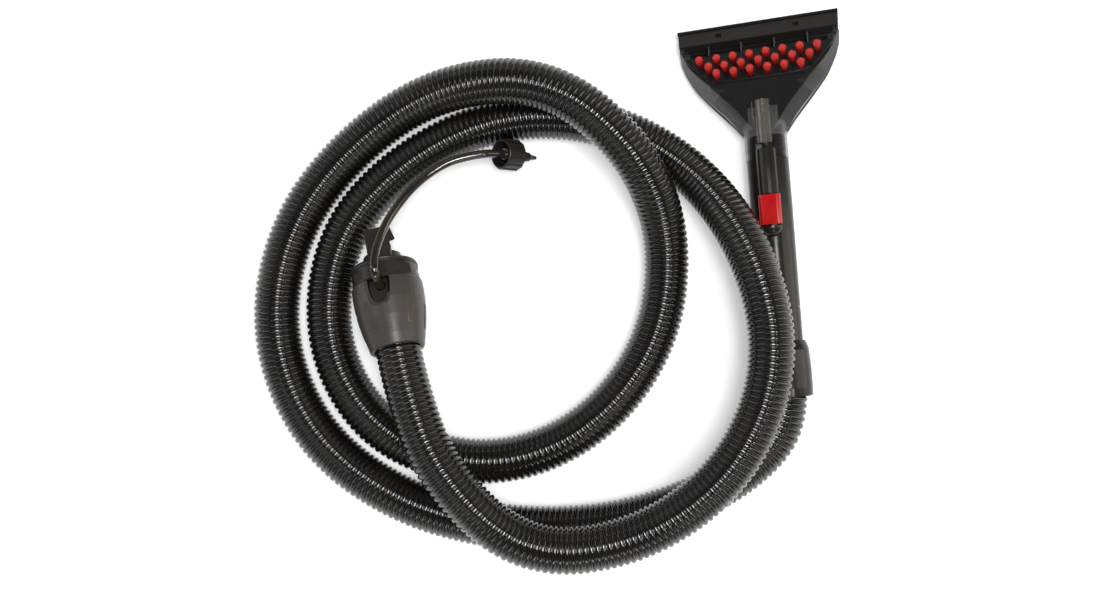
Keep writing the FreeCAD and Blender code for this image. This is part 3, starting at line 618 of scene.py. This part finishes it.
def ring_bead(name, place, t, radius, size, sides=120):
    """A round bead that runs round a frame's Y axis."""
    centre = np.array([list(at(place, radius * math.sin(2 * math.pi * k / sides), t,
                               radius * math.cos(2 * math.pi * k / sides))) for k in range(sides + 1)])
    return tube_mesh(name, centre, [size * MM] * len(centre), sides=10)


add_piece(ring_bead("barrel_seam", CONNECTOR, 62.2, 31.55, 0.5), WAND, BLACK)

# ---------------------------------------------------------------- tool head details

HEAD_CORNERS = [(74.2, 174.0), (73.4, 145.0), (62.0, 119.0), (49.5, 103.5), (33.5, 85.5), (19.6, 66.0)]


def head_rim(side):
    """The dark rolled rim that runs down one side of the head to its neck."""
    reach = [(side * (x - 0.5), y, -0.2) for x, y in HEAD_CORNERS]
    reach[0] = (reach[0][0], reach[0][1] - 1.2, -0.2)
    reach[-1] = (side * 19.9, 70.0, -0.2)
    name = "head_rim_" + ("right" if side > 0 else "left")
    made = route_curve(name, [at(TOOL, *p) for p in reach], 0.85 * MM)
    return add_piece(made, HEAD, BLACK)


for side in (-1, 1):
    head_rim(side)

# half of the tray's border, from its front corner to its middle
TRAY_HALF = [(67.2, -31.4), (67.0, -33.8), (56.0, -47.6), (44.9, -60.9)]


def tray_edge():
    """The thin raised black border along the back of the brush tray."""
    corners = [(-x, y) for x, y in TRAY_HALF] + [(0.0, -61.2)] + TRAY_HALF[::-1]
    made = route_curve("tray_edge", [at(FACE, x, y, -2.9) for x, y in corners], 0.55 * MM)
    return add_piece(made, HEAD, BLACK)


tray_edge()

# ---------------------------------------------------------------- stage


FLOOR_HALF = 6.0
FLOOR_GLOW = 0.38


def make_floor():
    """A plain pale floor."""
    corners = [(x * FLOOR_HALF, y * FLOOR_HALF, 0) for x, y in ((-1, -1), (1, -1), (1, 1), (-1, 1))]
    made = mesh_object("floor", corners, [(0, 1, 2, 3)], smooth=False)
    paint = Paint("paper_floor")
    clouds = paint.noise(8.0, 3.0)
    paint.into("Base Color", paint.ramp(clouds, [(0.3, (0.93, 0.93, 0.93)), (0.7, (0.95, 0.95, 0.95))]))
    paint.into("Roughness", paint.range(paint.noise(60.0, 3.0), 0.7, 0.8))
    paint.into("Emission Color", (1.0, 1.0, 1.0, 1.0))
    paint.into("Emission Strength", FLOOR_GLOW)
    paint_over(made, paint.material)


# the room's brightness from level view (0) to straight up (1)
ROOM_LEVELS = ((0.0, 0.50), (0.30, 0.30), (0.62, 0.12), (1.0, 0.05))
ROOM_TINT = (1.0, 0.985, 0.96)
LIGHT_TARGET = (-0.2, -0.05, 0)
WHITE = (1, 1, 1)
# name, place, width and height in metres, watts, colour
LIGHTS = (
    ("right_box", (1.5, -0.1, 0.95), (0.6, 2.0), 9, (1.0, 0.95, 0.86)),
    ("left_box", (-1.8, 0.4, 1.1), (0.4, 1.6), 4, (0.95, 0.98, 1.0)),
    ("far_box", (-0.2, 1.7, 1.2), (1.8, 0.4), 1.5, WHITE),
    ("near_box", (-0.2, -1.8, 1.2), (1.8, 0.4), 7, WHITE),
    ("key", (-0.10, -0.14, 1.5), (0.42, 0.42), 13.0, WHITE),
    ("second", (0.35, -0.45, 1.4), (0.16, 0.16), 2.0, WHITE))


def area_light(name, place, size, power, colour):
    """A soft rectangular light that faces the object."""
    data = bpy.data.lights.new(name, "AREA")
    data.shape = "RECTANGLE"
    data.size, data.size_y = size
    data.energy = power
    data.color = colour
    made = bpy.data.objects.new(name, data)
    bpy.context.scene.collection.objects.link(made)
    made.location = place
    made.rotation_euler = (Vector(LIGHT_TARGET) - Vector(place)).to_track_quat("-Z", "Y").to_euler()


def make_light():
    """A white room whose ceiling is dark around the camera, with soft boxes at its sides."""
    world = bpy.data.worlds.new("white_room")
    world.use_nodes = True
    tree = world.node_tree
    way = tree.nodes.new("ShaderNodeTexCoord").outputs["Generated"]
    split = tree.nodes.new("ShaderNodeSeparateXYZ")
    tree.links.new(way, split.inputs["Vector"])
    ramp = tree.nodes.new("ShaderNodeValToRGB")
    elements = ramp.color_ramp.elements
    elements.new(0.5)
    elements.new(0.8)
    for element, (position, level) in zip(elements, ROOM_LEVELS):
        element.position = position
        element.color = (*shade(ROOM_TINT, level), 1)
    tree.links.new(split.outputs["Z"], ramp.inputs["Fac"])
    background = tree.nodes["Background"]
    tree.links.new(ramp.outputs["Color"], background.inputs["Color"])
    background.inputs["Strength"].default_value = 1.0
    bpy.context.scene.world = world
    for light in LIGHTS:
        area_light(*light)


make_floor()
make_light()
bpy.context.scene.view_settings.view_transform = "Standard"
bpy.context.scene.view_settings.look = "None"
